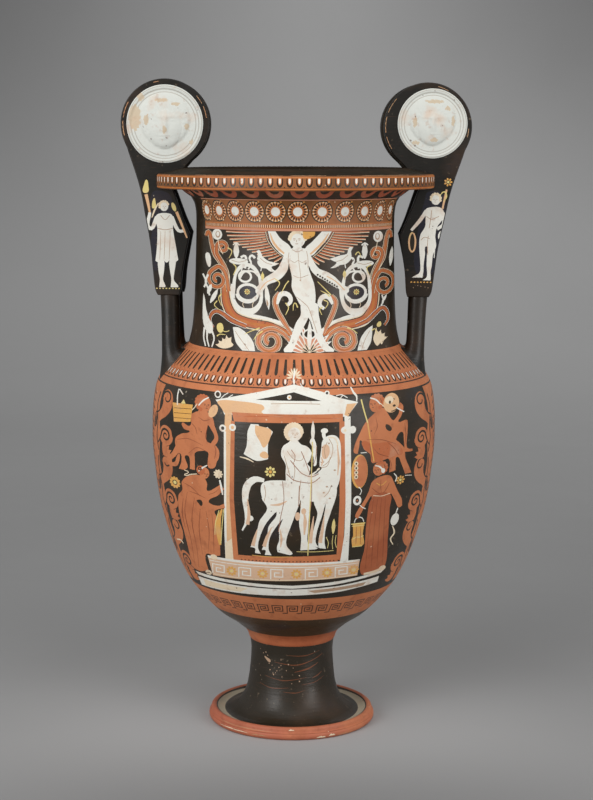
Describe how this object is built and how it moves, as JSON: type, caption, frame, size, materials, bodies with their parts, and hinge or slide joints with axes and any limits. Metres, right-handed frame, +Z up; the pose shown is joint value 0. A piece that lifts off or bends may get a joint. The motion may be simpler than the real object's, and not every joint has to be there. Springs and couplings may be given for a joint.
{
  "type": "volute krater",
  "caption": "Tall Greek volute krater of painted clay: ovoid body, wide neck with overhanging lip, stemmed foot and flanged scroll handles with round medallions",
  "frame": {"origin": "centre of the foot's resting ring, on the ground", "axes": "+Z up along the vessel's axis, +X through the right-hand handle, -Y towards the painted front"},
  "size_m": [0.4775, 0.3962, 0.9],
  "materials": {
    "painted_clay": "black gloss slip over orange clay, with chalky added white, red and yellow"
  },
  "bodies": {
    "root": {"krater": "painted_clay"}
  },
  "joints": []
}
